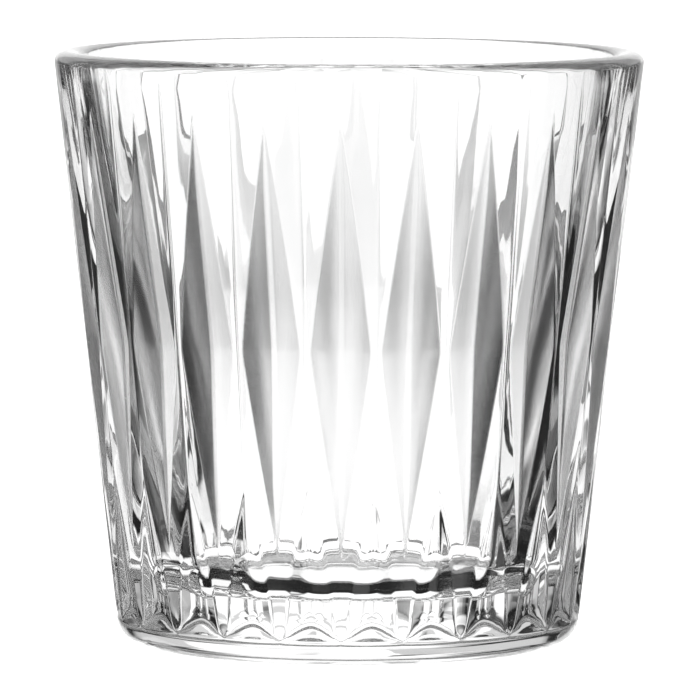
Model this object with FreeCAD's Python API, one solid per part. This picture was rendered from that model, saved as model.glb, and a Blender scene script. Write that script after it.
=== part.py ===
import FreeCAD, Part
import math
import os

# Pressed-glass whisky tumbler, in millimetres.
# The origin is at the centre of the foot, on the surface that the glass stands on, and +Z points up.

# Body
HEIGHT = 90.5              # foot to the top of the lip
FOOT_RADIUS = 35.0         # outer cone carried down to the standing plane
OUTER_TAPER = 0.112        # growth of the outer radius for each millimetre of height
LIP_RADIUS = 1.5           # rounding of the lip's outer and inner edge
HEEL_RADIUS = 4.0          # rounding where the side meets the underside

# Cavity: the wall gets thicker towards the base
WALL_AT_LIP = 4.3          # measured level, just under the lip's roundings
WALL_AT_BASE = 11.0        # measured level, at BASE_HEIGHT
BASE_HEIGHT = 16.0
FLOOR_HEIGHT = 9.5         # thick weighted base
FLOOR_CORNER_RADIUS = 8.0

# Underside
PUNT_RADIUS = 24.7         # shallow recess inside the ring that the glass stands on
PUNT_DEPTH = 1.2

# Pattern: one long diamond cut and one short wedge cut in each step round the glass
STEPS = 24
PATTERN_START = -90.0      # degrees from +X to the middle of the first diamond

DIAMOND_TOP = 82.0
DIAMOND_WAIST = 47.5       # height of the widest and deepest point
DIAMOND_BOTTOM = 17.5
DIAMOND_WIDTH = 9.2
DIAMOND_DEPTH = 1.9

WEDGE_TOP = 27.0
WEDGE_SHOULDER = 14.0      # height where the wedge's sides begin to run more nearly upright
WEDGE_WAIST = 5.8          # height of the deepest point, above the foot band
WEDGE_BOTTOM = 3.8         # top of the plain foot band
WEDGE_SHOULDER_WIDTH = 5.4
WEDGE_WIDTH = 8.4
WEDGE_DEPTH = 1.3

CUTTER_REACH = 2.0         # how far each cutter runs past the surface it cuts, as a multiple


def outer_radius(z):
    """Radius of the uncut outer cone at height z."""
    return FOOT_RADIUS + OUTER_TAPER * z


def arc_point(centre, radius, degrees):
    """Point on a circle in the plane y = 0."""
    angle = math.radians(degrees)
    return FreeCAD.Vector(centre.x + radius * math.cos(angle), 0, centre.z + radius * math.sin(angle))


def arc(centre, radius, start, end):
    """Arc in the plane y = 0 between two angles in degrees."""
    middle = (start + end) / 2
    points = [arc_point(centre, radius, degrees) for degrees in (start, middle, end)]
    return Part.Arc(*points).toShape()


def body():
    """Uncut tumbler: the wall, the lip, the thick base and the punt, as one turned solid."""
    lip_z = HEIGHT - LIP_RADIUS
    inner_top = outer_radius(lip_z) - WALL_AT_LIP
    inner_base = outer_radius(BASE_HEIGHT) - WALL_AT_BASE
    inner_taper = (inner_top - inner_base) / (lip_z - BASE_HEIGHT)
    outer_lean = math.degrees(math.atan(OUTER_TAPER))
    inner_lean = math.degrees(math.atan(inner_taper))

    heel_offset = HEEL_RADIUS / math.cos(math.radians(outer_lean))
    heel = FreeCAD.Vector(outer_radius(HEEL_RADIUS) - heel_offset, 0, HEEL_RADIUS)

    outer_lip_offset = LIP_RADIUS / math.cos(math.radians(outer_lean))
    inner_lip_offset = LIP_RADIUS / math.cos(math.radians(inner_lean))
    outer_lip = FreeCAD.Vector(outer_radius(lip_z) - outer_lip_offset, 0, lip_z)
    inner_lip = FreeCAD.Vector(inner_top + inner_lip_offset, 0, lip_z)

    corner_z = FLOOR_HEIGHT + FLOOR_CORNER_RADIUS
    wall_at_corner = inner_base + inner_taper * (corner_z - BASE_HEIGHT)
    corner_offset = FLOOR_CORNER_RADIUS / math.cos(math.radians(inner_lean))
    corner = FreeCAD.Vector(wall_at_corner - corner_offset, 0, corner_z)

    # The punt is a shallow spherical dome.
    punt_edge = FreeCAD.Vector(PUNT_RADIUS, 0, 0)
    punt_top = FreeCAD.Vector(0, 0, PUNT_DEPTH)
    dome_radius = (PUNT_RADIUS ** 2 + PUNT_DEPTH ** 2) / (2 * PUNT_DEPTH)
    dome_middle = FreeCAD.Vector(PUNT_RADIUS / 2, 0,
                                 PUNT_DEPTH - dome_radius + math.sqrt(dome_radius ** 2 - PUNT_RADIUS ** 2 / 4))

    heel_arc = arc(heel, HEEL_RADIUS, -90, -outer_lean)
    lip_outer_arc = arc(outer_lip, LIP_RADIUS, -outer_lean, 90)
    lip_inner_arc = arc(inner_lip, LIP_RADIUS, 90, 180 - inner_lean)
    corner_arc = arc(corner, FLOOR_CORNER_RADIUS, -inner_lean, -90)
    floor_centre = FreeCAD.Vector(0, 0, FLOOR_HEIGHT)
    profile = [
        Part.Arc(punt_top, dome_middle, punt_edge).toShape(),
        Part.makeLine(punt_edge, arc_point(heel, HEEL_RADIUS, -90)),
        heel_arc,
        Part.makeLine(arc_point(heel, HEEL_RADIUS, -outer_lean), arc_point(outer_lip, LIP_RADIUS, -outer_lean)),
        lip_outer_arc,
        Part.makeLine(arc_point(outer_lip, LIP_RADIUS, 90), arc_point(inner_lip, LIP_RADIUS, 90)),
        lip_inner_arc,
        Part.makeLine(arc_point(inner_lip, LIP_RADIUS, 180 - inner_lean),
                      arc_point(corner, FLOOR_CORNER_RADIUS, -inner_lean)),
        corner_arc,
        Part.makeLine(arc_point(corner, FLOOR_CORNER_RADIUS, -90), floor_centre),
        Part.makeLine(floor_centre, punt_top),
    ]
    face = Part.Face(Part.Wire(profile))
    return face.revolve(FreeCAD.Vector(0, 0, 0), FreeCAD.Vector(0, 0, 1), 360)


def on_cone(z, across=0.0):
    """Point of the outer cone at height z, a given arc length away from the plane y = 0."""
    radius = outer_radius(z)
    angle = across / radius
    return FreeCAD.Vector(radius * math.cos(angle), radius * math.sin(angle), z)


def cutter(deepest, rim):
    """Pyramid with its tip at the deepest point, whose side faces are the cut's flat facets."""
    far = [deepest + (point - deepest) * CUTTER_REACH for point in rim]
    cap = sum(far, FreeCAD.Vector(0, 0, 0)) * (1 / len(far)) + FreeCAD.Vector(CUTTER_REACH, 0, 0)
    faces = []
    for first, second in zip(far, far[1:] + far[:1]):
        faces.append(Part.Face(Part.makePolygon([deepest, first, second, deepest])))
        faces.append(Part.Face(Part.makePolygon([cap, second, first, cap])))
    solid = Part.makeSolid(Part.makeShell(faces))
    if solid.Volume < 0:
        solid.reverse()
    return solid


def diamond_cutter():
    """Long diamond: four facets that meet in an upright crease, deepest at the waist."""
    deepest = on_cone(DIAMOND_WAIST) - FreeCAD.Vector(DIAMOND_DEPTH, 0, 0)
    rim = [
        on_cone(DIAMOND_TOP),
        on_cone(DIAMOND_WAIST, DIAMOND_WIDTH / 2),
        on_cone(DIAMOND_BOTTOM),
        on_cone(DIAMOND_WAIST, -DIAMOND_WIDTH / 2),
    ]
    return cutter(deepest, rim)


def wedge_cutter():
    """Short wedge: facets that deepen and spread downwards, and a ledge above the foot band."""
    deepest = on_cone(WEDGE_WAIST) - FreeCAD.Vector(WEDGE_DEPTH, 0, 0)
    rim = [
        on_cone(WEDGE_TOP),
        on_cone(WEDGE_SHOULDER, WEDGE_SHOULDER_WIDTH / 2),
        on_cone(WEDGE_BOTTOM, WEDGE_WIDTH / 2),
        on_cone(WEDGE_BOTTOM, -WEDGE_WIDTH / 2),
        on_cone(WEDGE_SHOULDER, -WEDGE_SHOULDER_WIDTH / 2),
    ]
    return cutter(deepest, rim)


def ring_of(solid, start):
    """Copies of a cutter, one in each step round the glass."""
    copies = []
    for step in range(STEPS):
        copy = solid.copy()
        copy.rotate(FreeCAD.Vector(0, 0, 0), FreeCAD.Vector(0, 0, 1), start + 360 * step / STEPS)
        copies.append(copy)
    return copies


def tumbler():
    """The whole glass, which is pressed in one piece."""
    half_step = 180 / STEPS
    diamonds = ring_of(diamond_cutter(), PATTERN_START)
    wedges = ring_of(wedge_cutter(), PATTERN_START + half_step)
    return body().cut(diamonds + wedges)


os.makedirs("parts", exist_ok=True)
glass = tumbler()
glass.exportStep("parts/tumbler.step")
print("tumbler: %d solid, volume %.0f mm3" % (len(glass.Solids), glass.Volume))
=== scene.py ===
"""Looks of the pressed-glass whisky tumbler: its fine mesh, its glass, the floor, the light and the camera."""

import math

import bpy
import numpy as np
from mathutils import Euler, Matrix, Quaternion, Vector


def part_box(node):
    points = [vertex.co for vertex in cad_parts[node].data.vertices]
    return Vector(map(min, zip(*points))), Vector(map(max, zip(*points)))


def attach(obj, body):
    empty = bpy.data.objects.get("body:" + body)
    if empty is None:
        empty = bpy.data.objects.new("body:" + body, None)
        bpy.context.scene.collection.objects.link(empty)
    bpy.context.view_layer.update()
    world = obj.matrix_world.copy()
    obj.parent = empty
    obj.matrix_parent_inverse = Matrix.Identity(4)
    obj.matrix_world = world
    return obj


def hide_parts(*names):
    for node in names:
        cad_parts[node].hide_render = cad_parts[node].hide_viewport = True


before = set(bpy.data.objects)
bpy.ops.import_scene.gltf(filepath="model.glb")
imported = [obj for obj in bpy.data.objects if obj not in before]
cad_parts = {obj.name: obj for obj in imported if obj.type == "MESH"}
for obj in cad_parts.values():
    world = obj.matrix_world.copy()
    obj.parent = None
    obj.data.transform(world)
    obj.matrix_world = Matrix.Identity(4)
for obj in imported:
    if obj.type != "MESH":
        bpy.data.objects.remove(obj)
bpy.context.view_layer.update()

MM = 0.001

# ---------------------------------------------------------------- shape, in millimetres, as in the CAD model
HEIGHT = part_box("tumbler")[1][2] / MM
OUTER_TAPER = 0.112
FOOT_RADIUS = 35.0
LIP_RADIUS = 1.5
LIP_CROWN_START = 65.0
HEEL_RADIUS = 4.0
WALL_AT_LIP = 4.3
WALL_AT_BASE = 11.0
BASE_HEIGHT = 16.0
FLOOR_HEIGHT = 9.5
FLOOR_CORNER_RADIUS = 8.0
PUNT_RADIUS = 24.7
PUNT_DEPTH = 1.2

STEPS = 24
DIAMOND_TOP = 82.0
DIAMOND_WAIST = 47.5
DIAMOND_BOTTOM = 17.5
DIAMOND_WIDTH = 9.2
DIAMOND_DEPTH = 1.9
WEDGE_TOP = 27.0
WEDGE_BOTTOM = 3.7
WEDGE_WIDTH = 7.3
WEDGE_SLOPE = 0.34
WEDGE_FOOT_SLOPE = 0.22
WEDGE_FOOT_POWER = 3
TOOTH_TIP = 4.4
TOOTH_FLARE = 0.85
TOOTH_REACH = 0.7
LEDGE_TOP = 7.6
LEDGE_DEPTH = 1.35

# Roundings of the pressed shape, which the CAD model leaves sharp
CREASE_STRIP = 0.40
CREASE_SOFTNESS = 0.04
WAIST_SOFTNESS = 0.9
WEDGE_OUTLINE = 1.7
WEDGE_ROUNDING = 0.2
LEDGE_SOFTNESS = 0.45
EDGE_SOFTNESS = 0.03
WEDGE_EDGE_SOFTNESS = 0.14

# Where the mesh's columns stand: strips of fine columns at the cuts' edges, at most this wide or this share of
# the cut or land that they lie on
LEAST_HALF_WIDTH = 0.45
LEAST_LAND = 0.2
CREASE_SHARE = 0.25
CREASE_COLUMN = 0.6
DIAMOND_EDGE = (0.13, 0.15)
LAND_EDGE = (0.13, 0.25)
LAND_END = (0.4, 0.4)
WEDGE_EDGE = (0.35, 0.2)
WEDGE_COLUMNS = (0.60, 0.34, 0.14)

# Heights of the mesh's rings on the cut outside: each stretch's end, in millimetres, and its pitch
RING_STRETCHES = ((7.3, 0.22), (10, 0.55), (28, 1.2), (46, 3.6), (49, 0.33), (79, 3.75), (83, 0.6))
TOP_STRETCH = (0.6, 1.9)
UNDERSIDE_RINGS = (0.5, 7, 14, 20)
RING_GAP = 0.2
HEEL_RINGS = 9
LIP_RINGS = 6
CROWN_RINGS = 5
WALL_RING = 70.0
WALL_RING_GAP = 3.0
FLOOR_RING_GAP = 0.3
CORNER_RINGS = 14

# A point counts as cut when it lies this deep under the outer cone and no further than this outside a diamond
CUT_MASK_DEPTH = 0.03
CUT_EDGE = 0.02


def outer_radius(z):
    """Radius of the uncut outside at height z."""
    return FOOT_RADIUS + OUTER_TAPER * z


def soft_abs(value, softness):
    """Absolute value with a rounded bottom."""
    return np.sqrt(value * value + softness * softness)


def soft_max(first, second, softness):
    """Larger of two values, with a rounded change from one to the other."""
    return (first + second + soft_abs(first - second, softness)) / 2


def soft_min(first, second, softness):
    """Smaller of two values, with a rounded change from one to the other."""
    return -soft_max(-first, -second, softness)


DIAMOND_SLOPE = (2 * DIAMOND_DEPTH / DIAMOND_WIDTH
                 - DIAMOND_WIDTH / (4 * outer_radius(DIAMOND_WAIST)))


def diamond_plane_depth(z, softness=0.0):
    """Depth at which the two flat facets of a diamond would meet, at height z."""
    reach = np.where(z > DIAMOND_WAIST, DIAMOND_TOP - DIAMOND_WAIST, DIAMOND_WAIST - DIAMOND_BOTTOM)
    return DIAMOND_DEPTH * (1 - soft_abs(z - DIAMOND_WAIST, softness) / reach)


def diamond_half_width(z):
    """Half the width of a diamond at height z, where its flat facets meet the round outside."""
    radius = outer_radius(z)
    depth = np.maximum(diamond_plane_depth(z), 0)
    return radius * (np.sqrt(DIAMOND_SLOPE ** 2 + 2 * depth / radius) - DIAMOND_SLOPE)


def wedge_half_width(z):
    """Half the width of a wedge cut at height z. It flares at the foot, which rounds off the teeth."""
    share = np.clip((z - WEDGE_BOTTOM) / (WEDGE_TOP - WEDGE_BOTTOM), 0, 1)
    flare = TOOTH_FLARE * np.exp((TOOTH_TIP - z) / TOOTH_REACH)
    return WEDGE_WIDTH / 2 * (1 - share ** WEDGE_OUTLINE) + flare * (share < 1)


def cut_depth(across, z):
    """How far the surface lies under the outer cone, at an arc length across from a diamond's crease."""
    radius = outer_radius(z)
    aside = radius * math.pi / STEPS - np.abs(across)
    half = diamond_half_width(z)
    strip = np.minimum(CREASE_STRIP, CREASE_SHARE * half)
    diamond = (diamond_plane_depth(z, WAIST_SOFTNESS)
               - DIAMOND_SLOPE * soft_max(np.abs(across), strip, CREASE_SOFTNESS)
               - across * across / (2 * radius))
    half = wedge_half_width(z)
    rounding = WEDGE_ROUNDING * half * half
    slope = WEDGE_SLOPE + WEDGE_FOOT_SLOPE * (2 * half / WEDGE_WIDTH) ** WEDGE_FOOT_POWER
    wedge = (slope * (soft_abs(half, rounding) - soft_abs(aside, rounding))
             + (half * half - aside * aside) / (2 * radius))
    below = (LEDGE_TOP - z) / (LEDGE_TOP - WEDGE_BOTTOM)
    ledge = np.where(below > 0, LEDGE_DEPTH * (1 - below * below), LEDGE_DEPTH + wedge)
    wedge = soft_max(soft_min(wedge, ledge, LEDGE_SOFTNESS), 0.0, WEDGE_EDGE_SOFTNESS)
    return soft_max(diamond, wedge, EDGE_SOFTNESS)


def ring_angles(z):
    """Angles of one ring of vertices, in radians from a diamond's crease. They follow the cuts' edges."""
    half_step = outer_radius(z) * math.pi / STEPS
    diamond = max(float(diamond_half_width(z)), LEAST_HALF_WIDTH)
    wedge = min(max(float(wedge_half_width(z)), LEAST_HALF_WIDTH), half_step - diamond - LEAST_LAND)
    land = max(half_step - diamond - wedge, 0.0)
    strip = min(CREASE_STRIP, CREASE_SHARE * diamond)
    edge = min(DIAMOND_EDGE[0], DIAMOND_EDGE[1] * diamond)
    wedge_edge = min(WEDGE_EDGE[0], WEDGE_EDGE[1] * wedge)
    land_edge = min(LAND_EDGE[0], LAND_EDGE[1] * land)
    land_end = min(LAND_END[0], LAND_END[1] * land)
    one_side = np.array([
        0.0,
        CREASE_COLUMN * strip,
        strip,
        strip + edge,
        (strip + diamond) / 2,
        diamond - 2 * edge,
        diamond - edge,
        diamond,
        diamond + land_edge,
        diamond + land / 2,
        diamond + land - land_end,
        half_step - wedge,
        half_step - wedge + wedge_edge,
        *(half_step - share * wedge for share in WEDGE_COLUMNS),
    ]) / half_step * (math.pi / STEPS)
    step = np.concatenate([one_side, [math.pi / STEPS], 2 * math.pi / STEPS - one_side[:0:-1]])
    return np.concatenate([step + 2 * math.pi * i / STEPS for i in range(STEPS)])


def spaced(start, stop, pitch):
    """Heights from start up to stop, without stop, at about the given pitch."""
    count = max(1, round(abs(stop - start) / pitch))
    return list(np.linspace(start, stop, count, endpoint=False))


def lip_height():
    """Height of the lip's top over the centres of its two edge roundings, which a flatter crown arc joins."""
    slope = math.radians(LIP_CROWN_START)
    outer_reach = LIP_RADIUS / math.cos(math.atan(OUTER_TAPER))
    half_gap = (WALL_AT_LIP - 2 * outer_reach) / 2
    return LIP_RADIUS + half_gap * (1 - math.sin(slope)) / math.cos(slope)


def arc_points(centre_r, centre_z, radius, start, end, count):
    """Points along an arc, from a start to an end angle in degrees from the outward direction."""
    angles = np.radians(np.linspace(start, end, count))
    return [(centre_r + radius * math.cos(a), centre_z + radius * math.sin(a)) for a in angles]


def rings_of_glass():
    """Rings from the middle of the underside outwards, up, over the lip, down the inside and along the floor.

    Each ring is a radius (None on the cut outside), a height and the angles of its vertices."""
    outer_lean = math.degrees(math.atan(OUTER_TAPER))
    lean = math.radians(outer_lean)
    heel_r = outer_radius(HEEL_RADIUS) - HEEL_RADIUS / math.cos(lean)
    heel_top = HEEL_RADIUS * (1 - math.sin(lean))
    crown_start = math.radians(LIP_CROWN_START)
    lip_z = HEIGHT - lip_height()
    lip_r = outer_radius(lip_z) - LIP_RADIUS / math.cos(lean)
    top_inside = outer_radius(lip_z) - WALL_AT_LIP
    base_inside = outer_radius(BASE_HEIGHT) - WALL_AT_BASE
    inner_taper = (top_inside - base_inside) / (lip_z - BASE_HEIGHT)
    inner_lean = math.degrees(math.atan(inner_taper))
    inner_lip_r = top_inside + LIP_RADIUS / math.cos(math.radians(inner_lean))
    corner_z = FLOOR_HEIGHT + FLOOR_CORNER_RADIUS
    corner_r = (base_inside + inner_taper * (corner_z - BASE_HEIGHT)
                - FLOOR_CORNER_RADIUS / math.cos(math.radians(inner_lean)))
    dome_radius = (PUNT_RADIUS ** 2 + PUNT_DEPTH ** 2) / (2 * PUNT_DEPTH)

    below = []
    for r in (*UNDERSIDE_RINGS, PUNT_RADIUS - RING_GAP):
        below.append((r, PUNT_DEPTH - dome_radius + math.sqrt(dome_radius ** 2 - r * r)))
    below += [(PUNT_RADIUS, 0.0), (PUNT_RADIUS + RING_GAP, 0.0), (heel_r - UNDERSIDE_RINGS[0], 0.0)]
    below += arc_points(heel_r, HEEL_RADIUS, HEEL_RADIUS, -90, -outer_lean, HEEL_RINGS)[:-1]
    heights = []
    start = heel_top
    for end, pitch in (*RING_STRETCHES, (lip_z - TOP_STRETCH[0], TOP_STRETCH[1])):
        heights += spaced(start, end, pitch)
        start = end
    crown_r = (lip_r + inner_lip_r) / 2
    crown_radius = LIP_RADIUS + (lip_r - inner_lip_r) / 2 / math.cos(crown_start)
    crown_end = 180 - LIP_CROWN_START
    above = arc_points(lip_r, lip_z, LIP_RADIUS, -outer_lean, LIP_CROWN_START, LIP_RINGS)[:-1]
    above += arc_points(crown_r, HEIGHT - crown_radius, crown_radius, LIP_CROWN_START, crown_end, CROWN_RINGS)
    above += arc_points(inner_lip_r, lip_z, LIP_RADIUS, crown_end, 180 - inner_lean, LIP_RINGS)[1:]
    above += [(base_inside + inner_taper * (z - BASE_HEIGHT), z) for z in (WALL_RING, corner_z + WALL_RING_GAP)]
    above += arc_points(corner_r, corner_z, FLOOR_CORNER_RADIUS, -inner_lean, -90, CORNER_RINGS)
    above += [(r, FLOOR_HEIGHT) for r in (corner_r - FLOOR_RING_GAP, corner_r / 2, UNDERSIDE_RINGS[0])]
    low_angles = ring_angles(heel_top)
    high_angles = ring_angles(lip_z)
    return ([(r, z, low_angles) for r, z in below] + [(None, z, ring_angles(z)) for z in heights]
            + [(r, z, high_angles) for r, z in above])


def build_glass():
    """One closed mesh of the whole glass, whose attribute "cut" is 1 on the diamonds' facets."""
    first = math.radians(-90)
    step = 2 * math.pi / STEPS
    vertices = []
    cut = []
    for radius, z, angles in rings_of_glass():
        if radius is None:
            offset = np.mod(angles + step / 2, step) - step / 2
            radii = outer_radius(z) - cut_depth(offset * outer_radius(z), np.full(len(angles), z))
            in_diamond = np.abs(offset * outer_radius(z)) < diamond_half_width(z) + CUT_EDGE
            cut.append(np.clip((outer_radius(z) - radii) / CUT_MASK_DEPTH, 0, 1) * in_diamond)
        else:
            radii = np.full(len(angles), radius)
            cut.append(np.zeros(len(angles)))
        vertices.append(np.stack([radii * np.cos(first + angles), radii * np.sin(first + angles),
                                  np.full(len(angles), z)], axis=1))
    rings = len(vertices)
    count = len(vertices[0])
    points = np.concatenate(vertices + [np.array([[0, 0, PUNT_DEPTH]]), np.array([[0, 0, FLOOR_HEIGHT]])]) * MM
    around = np.arange(count)
    after = (around + 1) % count
    faces = []
    for ring in range(rings - 1):
        low, high = ring * count, (ring + 1) * count
        faces += np.stack([low + around, low + after, high + after, high + around], axis=1).tolist()
    last = (rings - 1) * count
    bottom = rings * count
    faces += [(bottom, int(b), int(a)) for a, b in zip(around, after)]
    faces += [(bottom + 1, int(last + a), int(last + b)) for a, b in zip(around, after)]
    mesh = bpy.data.meshes.new("tumbler_glass")
    mesh.from_pydata(points.tolist(), [], faces)
    mesh.polygons.foreach_set("use_smooth", np.ones(len(faces), bool))
    mesh.validate()
    facets = mesh.attributes.new("cut", "FLOAT", "POINT")
    facets.data.foreach_set("value", np.concatenate(cut + [np.zeros(2)]))
    mesh.update()
    glass = bpy.data.objects.new("tumbler_glass", mesh)
    bpy.context.scene.collection.objects.link(glass)
    return glass


def node(tree, kind, **settings):
    """A new node of one kind with its settings."""
    made = tree.nodes.new(kind)
    for name, value in settings.items():
        setattr(made, name, value)
    return made


# The diamonds' facets are taken to be satin. The rest of the glass is glossy and very slightly wavy.
GLASS_COLOUR = (0.995, 0.995, 0.995, 1)
GLASS_IOR = 1.52
FACET_ROUGHNESS = (0.25, 0.28)
PATCH_SCALE = 400.0
WAVE_SCALE = 120.0
WAVE_HEIGHT = 0.00002


def glass_material():
    """Clear glass, whose roughness follows the mesh's attribute "cut" and varies in small patches."""
    material = bpy.data.materials.new("clear_glass")
    material.use_nodes = True
    tree = material.node_tree
    shader = tree.nodes["Principled BSDF"]
    shader.inputs["Base Color"].default_value = GLASS_COLOUR
    shader.inputs["Transmission Weight"].default_value = 1.0
    shader.inputs["IOR"].default_value = GLASS_IOR

    coordinates = node(tree, "ShaderNodeTexCoord")
    mask = node(tree, "ShaderNodeAttribute", attribute_name="cut")
    patches = node(tree, "ShaderNodeTexNoise")
    patches.inputs["Scale"].default_value = PATCH_SCALE
    tree.links.new(coordinates.outputs["Object"], patches.inputs["Vector"])
    spread = node(tree, "ShaderNodeMapRange")
    spread.inputs["To Min"].default_value = FACET_ROUGHNESS[0]
    spread.inputs["To Max"].default_value = FACET_ROUGHNESS[1]
    tree.links.new(patches.outputs["Fac"], spread.inputs["Value"])
    satin = node(tree, "ShaderNodeMath", operation="MULTIPLY")
    tree.links.new(mask.outputs["Fac"], satin.inputs[0])
    tree.links.new(spread.outputs["Result"], satin.inputs[1])
    tree.links.new(satin.outputs[0], shader.inputs["Roughness"])

    waves = node(tree, "ShaderNodeTexNoise")
    waves.inputs["Scale"].default_value = WAVE_SCALE
    waves.inputs["Detail"].default_value = 1.0
    tree.links.new(coordinates.outputs["Object"], waves.inputs["Vector"])
    pressed = node(tree, "ShaderNodeBump")
    pressed.inputs["Strength"].default_value = 1.0
    pressed.inputs["Distance"].default_value = WAVE_HEIGHT
    tree.links.new(waves.outputs["Fac"], pressed.inputs["Height"])
    tree.links.new(pressed.outputs["Normal"], shader.inputs["Normal"])
    return material


FLOOR_HALF_SIZE = 3.0
FLOOR_DROP = 0.0002
FLOOR_WHITE = (0.9, 0.9, 0.9, 1)
FLOOR_ROUGHNESS = 0.8
FLOOR_GLOW = 1.0


def build_floor():
    """A pale floor just under the glass, which glows a little so that it stays white out to its edges.

    The glass neither shows nor mirrors it: what the glass shows is the light cards."""
    corners = ((-1, -1), (1, -1), (1, 1), (-1, 1))
    mesh = bpy.data.meshes.new("floor")
    mesh.from_pydata([(x * FLOOR_HALF_SIZE, y * FLOOR_HALF_SIZE, -FLOOR_DROP) for x, y in corners],
                     [], [(0, 1, 2, 3)])
    floor = bpy.data.objects.new("floor", mesh)
    bpy.context.scene.collection.objects.link(floor)
    material = bpy.data.materials.new("floor_white")
    material.use_nodes = True
    shader = material.node_tree.nodes["Principled BSDF"]
    shader.inputs["Base Color"].default_value = FLOOR_WHITE
    shader.inputs["Roughness"].default_value = FLOOR_ROUGHNESS
    shader.inputs["Emission Color"].default_value = (1, 1, 1, 1)
    shader.inputs["Emission Strength"].default_value = FLOOR_GLOW
    mesh.materials.append(material)
    floor.visible_transmission = False
    floor.visible_glossy = False


# Light cards round the stage, in degrees: where each one stands, in azimuth (0 behind the glass as the camera
# sees it, growing towards +X) and in elevation, its half-sizes and the softness of its edges. Last, its light.
CARDS = (
    # azimuth, elevation, half_width, half_height, side_softness, top_softness, light
    (0, 20, 20, 43, 5, 4, 1.24),
    (0, -33, 25, 23, 6, 3, 1.27),
    (0, 22, 40, 20, 6, 3, 0.7),
    (-45, -33, 15, 8, 5, 2, 1.1),
    (-90, 6, 16, 21, 5, 2, 1.15),
    (135, -4, 18, 28, 6, 3, 1.15),
    (90, 15, 26, 20, 14, 10, 0.3),
    (-135, -4, 18, 28, 6, 3, 0.4),
    (180, 10, 60, 34, 10, 6, 0.25),
    (180, 60, 90, 30, 15, 15, 0.4),
)
# Faint grey strips across the cards: elevation, half height, softness and the share of the light that is left
STRIPS = (
    (-3.5, 3.0, 1.0, 0.6),
)
ROOM_LIGHT = 0.015
BACKDROP_LIGHT = 1.05


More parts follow.
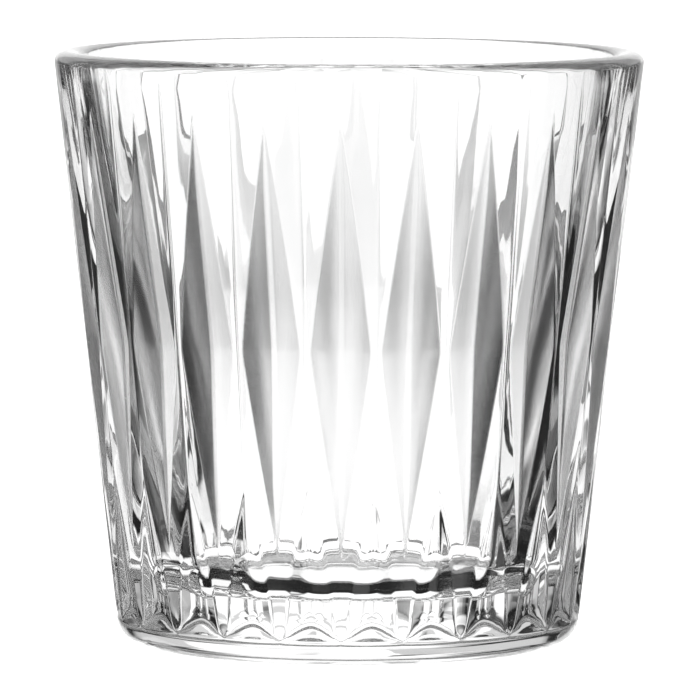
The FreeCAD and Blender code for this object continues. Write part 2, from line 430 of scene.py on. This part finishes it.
def build_world():
    """Soft light cards in a dark room light the glass. Only the camera sees the white backdrop.

    The cards don't go all round, so the glass looks darker from some directions than from others."""
    world = bpy.data.worlds.new("studio")
    bpy.context.scene.world = world
    world.use_nodes = True
    tree = world.node_tree
    tree.nodes.clear()
    output = node(tree, "ShaderNodeOutputWorld")
    coordinates = node(tree, "ShaderNodeTexCoord")
    parts = node(tree, "ShaderNodeSeparateXYZ")
    tree.links.new(coordinates.outputs["Generated"], parts.inputs[0])

    def math_node(operation, *values):
        made = node(tree, "ShaderNodeMath", operation=operation)
        for slot, value in zip(made.inputs, values):
            if isinstance(value, (int, float)):
                slot.default_value = value
            else:
                tree.links.new(value, slot)
        return made.outputs[0]

    def inside(offset, half_size, softness):
        made = node(tree, "ShaderNodeMapRange", interpolation_type="SMOOTHSTEP")
        tree.links.new(offset, made.inputs["Value"])
        made.inputs["From Min"].default_value = half_size + softness
        made.inputs["From Max"].default_value = half_size - softness
        return made.outputs["Result"]

    azimuth = math_node("ARCTAN2", parts.outputs["X"], parts.outputs["Y"])
    elevation = math_node("ARCSINE", parts.outputs["Z"])
    light = ROOM_LIGHT
    for card_azimuth, card_elevation, half_width, half_height, side_softness, top_softness, strength in CARDS:
        turned = math_node("SUBTRACT", azimuth, math.radians(card_azimuth))
        across = math_node("ABSOLUTE", math_node("WRAP", turned, math.pi, -math.pi))
        upright = math_node("ABSOLUTE", math_node("SUBTRACT", elevation, math.radians(card_elevation)))
        card = math_node("MULTIPLY", inside(across, math.radians(half_width), math.radians(side_softness)),
                         inside(upright, math.radians(half_height), math.radians(top_softness)))
        light = math_node("MAXIMUM", light, math_node("MULTIPLY", card, strength))
    for strip_elevation, half_height, softness, left in STRIPS:
        upright = math_node("ABSOLUTE", math_node("SUBTRACT", elevation, math.radians(strip_elevation)))
        strip = inside(upright, math.radians(half_height), math.radians(softness))
        light = math_node("MULTIPLY", light, math_node("SUBTRACT", 1.0, math_node("MULTIPLY", strip, 1 - left)))
    lit = node(tree, "ShaderNodeBackground")
    lit.inputs["Color"].default_value = (1, 1, 1, 1)
    tree.links.new(light, lit.inputs["Strength"])
    white = node(tree, "ShaderNodeBackground")
    white.inputs["Color"].default_value = (1, 1, 1, 1)
    white.inputs["Strength"].default_value = BACKDROP_LIGHT
    path = node(tree, "ShaderNodeLightPath")
    mix = node(tree, "ShaderNodeMixShader")
    tree.links.new(path.outputs["Is Camera Ray"], mix.inputs["Fac"])
    tree.links.new(lit.outputs[0], mix.inputs[1])
    tree.links.new(white.outputs[0], mix.inputs[2])
    tree.links.new(mix.outputs[0], output.inputs["Surface"])


# The camera's place in metres: how far it stands, how high, how far it is turned round the glass, and its roll;
# then the point that it looks at, aside and up, and the width of the picture at the glass
SENSOR_WIDTH = 36.0
CAMERA_DISTANCE = 1.25
CAMERA_HEIGHT = 0.152
CAMERA_AZIMUTH = math.radians(1.6)
CAMERA_ROLL = 0.0026
AIM = (0.00023, 0.0446)
FRAME_WIDTH = 0.1067
CLIP_END = 20.0


def build_camera():
    """A long lens, a little above the glass and looking slightly down at it."""
    data = bpy.data.cameras.new("camera")
    data.sensor_width = SENSOR_WIDTH
    camera = bpy.data.objects.new("camera", data)
    bpy.context.scene.collection.objects.link(camera)
    bpy.context.scene.camera = camera
    right = np.array([math.cos(CAMERA_AZIMUTH), math.sin(CAMERA_AZIMUTH), 0.0])
    back = np.array([math.sin(CAMERA_AZIMUTH), -math.cos(CAMERA_AZIMUTH), 0.0])
    drop = math.atan2(CAMERA_HEIGHT - AIM[1], CAMERA_DISTANCE)
    level = Euler((math.pi / 2 - drop, 0, CAMERA_AZIMUTH)).to_quaternion()
    camera.location = back * CAMERA_DISTANCE + np.array([0, 0, CAMERA_HEIGHT]) + right * AIM[0]
    camera.rotation_mode = "QUATERNION"
    camera.rotation_quaternion = level @ Quaternion((0, 0, 1), CAMERA_ROLL)
    data.lens = SENSOR_WIDTH * CAMERA_DISTANCE / FRAME_WIDTH
    data.clip_end = CLIP_END


# Light passes many facets on its way through the glass
GLASS_BOUNCES = 32

glass = build_glass()
material = glass_material()
glass.data.materials.append(material)
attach(glass, "root")
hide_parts("tumbler")
build_floor()
build_world()
build_camera()

scene = bpy.context.scene
scene.view_settings.view_transform = "Standard"
scene.cycles.max_bounces = GLASS_BOUNCES
scene.cycles.transmission_bounces = GLASS_BOUNCES
scene.cycles.glossy_bounces = GLASS_BOUNCES // 2
